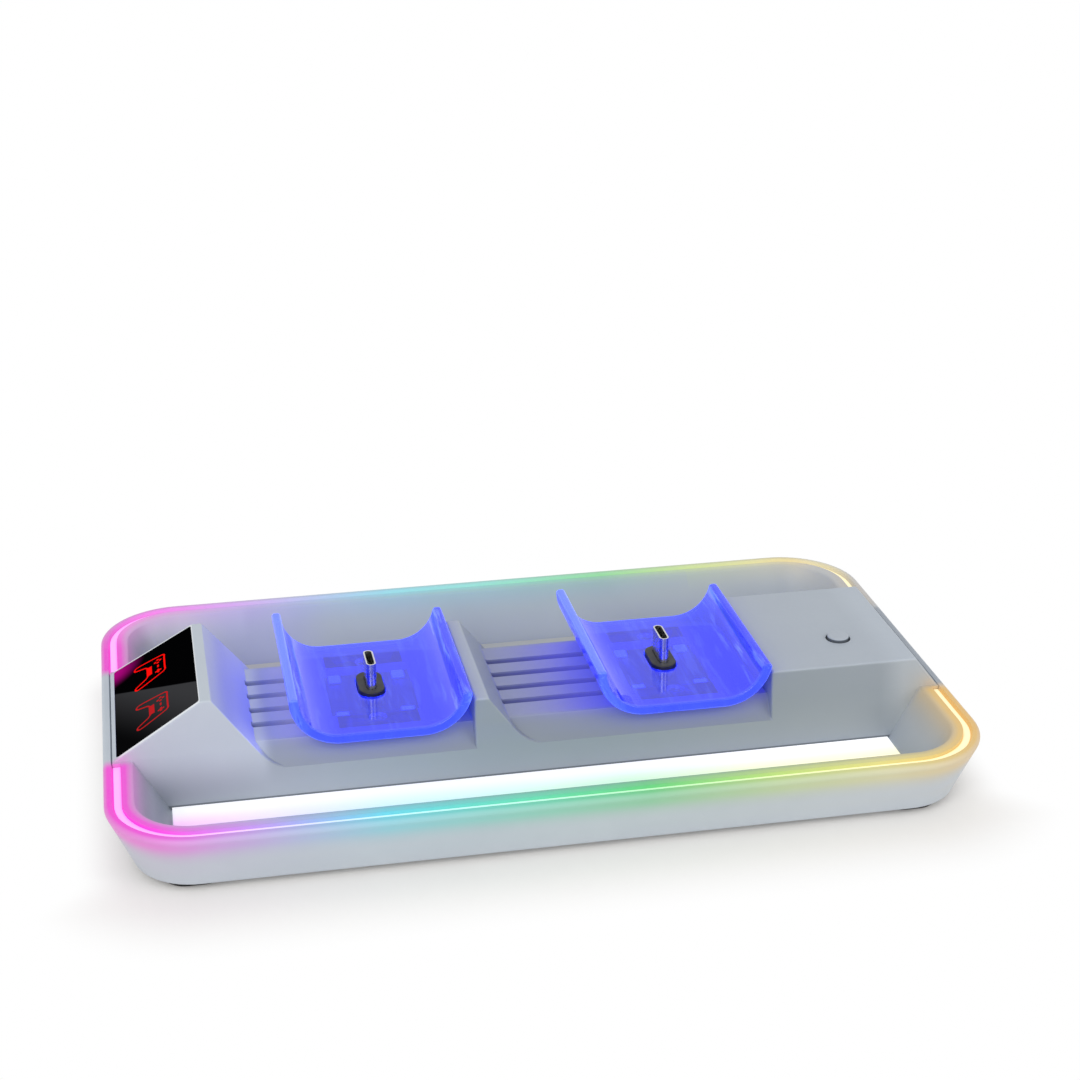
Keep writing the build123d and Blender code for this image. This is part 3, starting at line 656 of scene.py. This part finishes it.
dress(
    plain_material("foot_rubber", (26, 26, 28), (36, 36, 38), 0.75, scale=1200.0, bump=0.4),
    "foot_front_left",
    "foot_front_right",
    "foot_rear_left",
    "foot_rear_right",
)
dress(
    plain_material("screw_steel", (170, 170, 172), (190, 190, 192), 0.32, 1.0, scale=1500.0, bump=0.08),
    "housing_screws",
)

for node in nodes.values():
    for polygon in node.data.polygons:
        polygon.use_smooth = True
    node.data.set_sharp_from_angle(angle=SMOOTH_ANGLE)


# Two red gamepad signs on the display, drawn in millimetres: across the display, and up its slope
def arc(centre, radius, start, stop, count):
    """Points along an arc, angles in degrees."""
    points = []
    for step in range(count + 1):
        angle = math.radians(start + (stop - start) * step / count)
        points.append((centre[0] + radius * math.cos(angle), centre[1] + radius * math.sin(angle)))
    return points


def ribbon(points, width, closed=False):
    """A flat band along a line of points, as corner points and faces."""
    count = len(points)
    corners = []
    for index, (x, y) in enumerate(points):
        before = points[index - 1] if closed or index > 0 else points[index]
        after = points[(index + 1) % count] if closed or index < count - 1 else points[index]
        along = Vector((after[0] - before[0], after[1] - before[1])).normalized()
        side = Vector((-along.y, along.x)) * (width / 2)
        corners.append((x + side.x, y + side.y))
        corners.append((x - side.x, y - side.y))
    faces = []
    for index in range(count if closed else count - 1):
        first = 2 * index
        second = 2 * ((index + 1) % count)
        faces.append((first, first + 1, second + 1, second))
    return corners, faces


def disc(centre, radius):
    points = arc(centre, radius, 0, 330, 11)
    return points, [tuple(range(len(points)))]


def gamepad_outline():
    """Half of a plain gamepad's outline, mirrored into a whole one."""
    half = [(0.0, 4.0), (2.6, 4.0)]
    half += arc((3.5, 2.9), 1.2, 80, 10, 5)
    half += [(5.3, 0.6), (6.0, -2.7)]
    half += arc((5.2, -3.8), 0.9, 10, -150, 7)
    half += [(3.1, -1.6), (2.3, -1.0), (0.0, -1.0)]
    left = [(-x, y) for x, y in reversed(half[1:-1])]
    return half + left


def gamepad_shapes():
    """The sign's outline, lower band, cross, four buttons and middle bar."""
    shapes = [ribbon(gamepad_outline(), 0.5, closed=True)]
    shapes.append(ribbon([(-2.2, -0.3), (2.2, -0.3)], 1.2))
    shapes.append(ribbon([(-3.5, 2.1), (-1.7, 2.1)], 0.6))
    shapes.append(ribbon([(-2.6, 3.0), (-2.6, 1.2)], 0.6))
    for place in ((2.6, 2.85), (2.6, 1.35), (3.35, 2.1), (1.85, 2.1)):
        shapes.append(disc(place, 0.4))
    shapes.append(ribbon([(-0.6, 2.1), (0.6, 2.1)], 0.5))
    return shapes


def display_sign(name, y, material):
    """A gamepad sign laid on the display, its grips pointing down the slope."""
    slope = Vector((math.cos(DISPLAY_TILT), 0.0, math.sin(DISPLAY_TILT)))
    normal = Vector((-math.sin(DISPLAY_TILT), 0.0, math.cos(DISPLAY_TILT)))
    corners = []
    faces = []
    for points, shape_faces in gamepad_shapes():
        first = len(corners)
        for across, along in points:
            place = DISPLAY_POINT + slope * (along * MM) + normal * SIGN_LIFT
            corners.append(place + Vector((0.0, (y + across) * MM, 0.0)))
        faces += [tuple(first + index for index in face) for face in shape_faces]
    mesh = bpy.data.meshes.new(name)
    mesh.from_pydata(corners, [], faces)
    mesh.materials.append(material)
    sign = bpy.data.objects.new(name, mesh)
    scene.collection.objects.link(sign)
    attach(sign, "dock")


display_sign("rear_display_sign", 10.4, sign_material("bright_red", (255, 14, 8), 1.0))
display_sign("front_display_sign", -10.2, sign_material("dim_red", (196, 34, 38), 0.8))


# Floor and world
def seen_rays(add, join):
    """One where a ray comes from the camera, a reflection or a clear piece."""
    path = add("LightPath")
    first = add("Math", operation="MAXIMUM")
    join(path.outputs["Is Camera Ray"], first.inputs[0])
    join(path.outputs["Is Glossy Ray"], first.inputs[1])
    both = add("Math", operation="MAXIMUM")
    join(first.outputs[0], both.inputs[0])
    join(path.outputs["Is Transmission Ray"], both.inputs[1])
    return both.outputs[0]


def floor_material():
    """Pale floor that keeps the shadow near the object and is white further out."""
    look = Shader("studio_floor")
    look.set(Base_Color=linear(FLOOR_TONE), Roughness=0.9, Specular_IOR_Level=0.0)
    # The shadow reaches further in front than at the sides
    reach = look.remap(
        look.y,
        -STRIP_HALF_Y - 4 * MM,
        -STRIP_HALF_Y + 12 * MM,
        FRONT_SHADOW_REACH,
        SIDE_SHADOW_REACH,
    )
    share = look.math("DIVIDE", look.math("ADD", look.strip_distance(), SHADOW_START), reach)
    far = look.remap(share, 0.0, 1.0, WHITE_IN_SHADOW, 1.0)
    white = look.add("Emission")
    white.inputs["Color"].default_value = WHITE
    blend = look.add("MixShader")
    look.join(look.times(far, seen_rays(look.add, look.join)), blend.inputs[0])
    look.join(look.surface.outputs[0], blend.inputs[1])
    look.join(white.outputs[0], blend.inputs[2])
    look.join(blend.outputs[0], look.output.inputs["Surface"])
    return look.material


floor_mesh = bpy.data.meshes.new("studio_floor")
floor_signs = [(-1, -1), (1, -1), (1, 1), (-1, 1)]
floor_corners = [(FLOOR_HALF * side, FLOOR_HALF * depth, 0.0) for side, depth in floor_signs]
floor_mesh.from_pydata(floor_corners, [], [(0, 1, 2, 3)])
floor_mesh.materials.append(floor_material())
floor = bpy.data.objects.new("studio_floor", floor_mesh)
scene.collection.objects.link(floor)

world = bpy.data.worlds.new("studio")
scene.world = world
world.use_nodes = True
world_tree = world.node_tree
world_tree.nodes.clear()


def world_node(kind, **settings):
    node = world_tree.nodes.new("ShaderNode" + kind)
    for key, value in settings.items():
        setattr(node, key, value)
    return node


def background(colour, strength):
    node = world_node("Background")
    node.inputs["Color"].default_value = colour
    node.inputs["Strength"].default_value = strength
    return node.outputs[0]


world_blend = world_node("MixShader")
world_tree.links.new(seen_rays(world_node, world_tree.links.new), world_blend.inputs[0])
world_tree.links.new(background(SKY_COLOUR, SKY_STRENGTH), world_blend.inputs[1])
world_tree.links.new(background(WHITE, 1.0), world_blend.inputs[2])
world_tree.links.new(world_blend.outputs[0], world_node("OutputWorld").inputs["Surface"])


def area_light(name, place, side, power):
    """A square light that shines on the middle of the table under the dock."""
    data = bpy.data.lights.new(name, "AREA")
    data.shape = "SQUARE"
    data.size = side
    data.energy = power
    light = bpy.data.objects.new(name, data)
    light.location = place
    light.rotation_euler = (-Vector(place)).to_track_quat("-Z", "Y").to_euler()
    scene.collection.objects.link(light)


area_light("key_light", (-0.5, -0.8, 0.65), 0.7, 3.85)
area_light("fill_light", (0.75, -0.6, 0.45), 0.6, 2.05)

# Camera
camera_data = bpy.data.cameras.new("camera")
camera_data.sensor_width = SENSOR_WIDTH
camera_data.lens = FOCAL_PIXELS / PHOTO_SIDE * SENSOR_WIDTH
camera = bpy.data.objects.new("camera", camera_data)
camera.location = CAMERA_PLACE
camera.rotation_euler = (math.pi / 2 - CAMERA_PITCH, 0.0, -CAMERA_TURN)
scene.collection.objects.link(camera)
scene.camera = camera
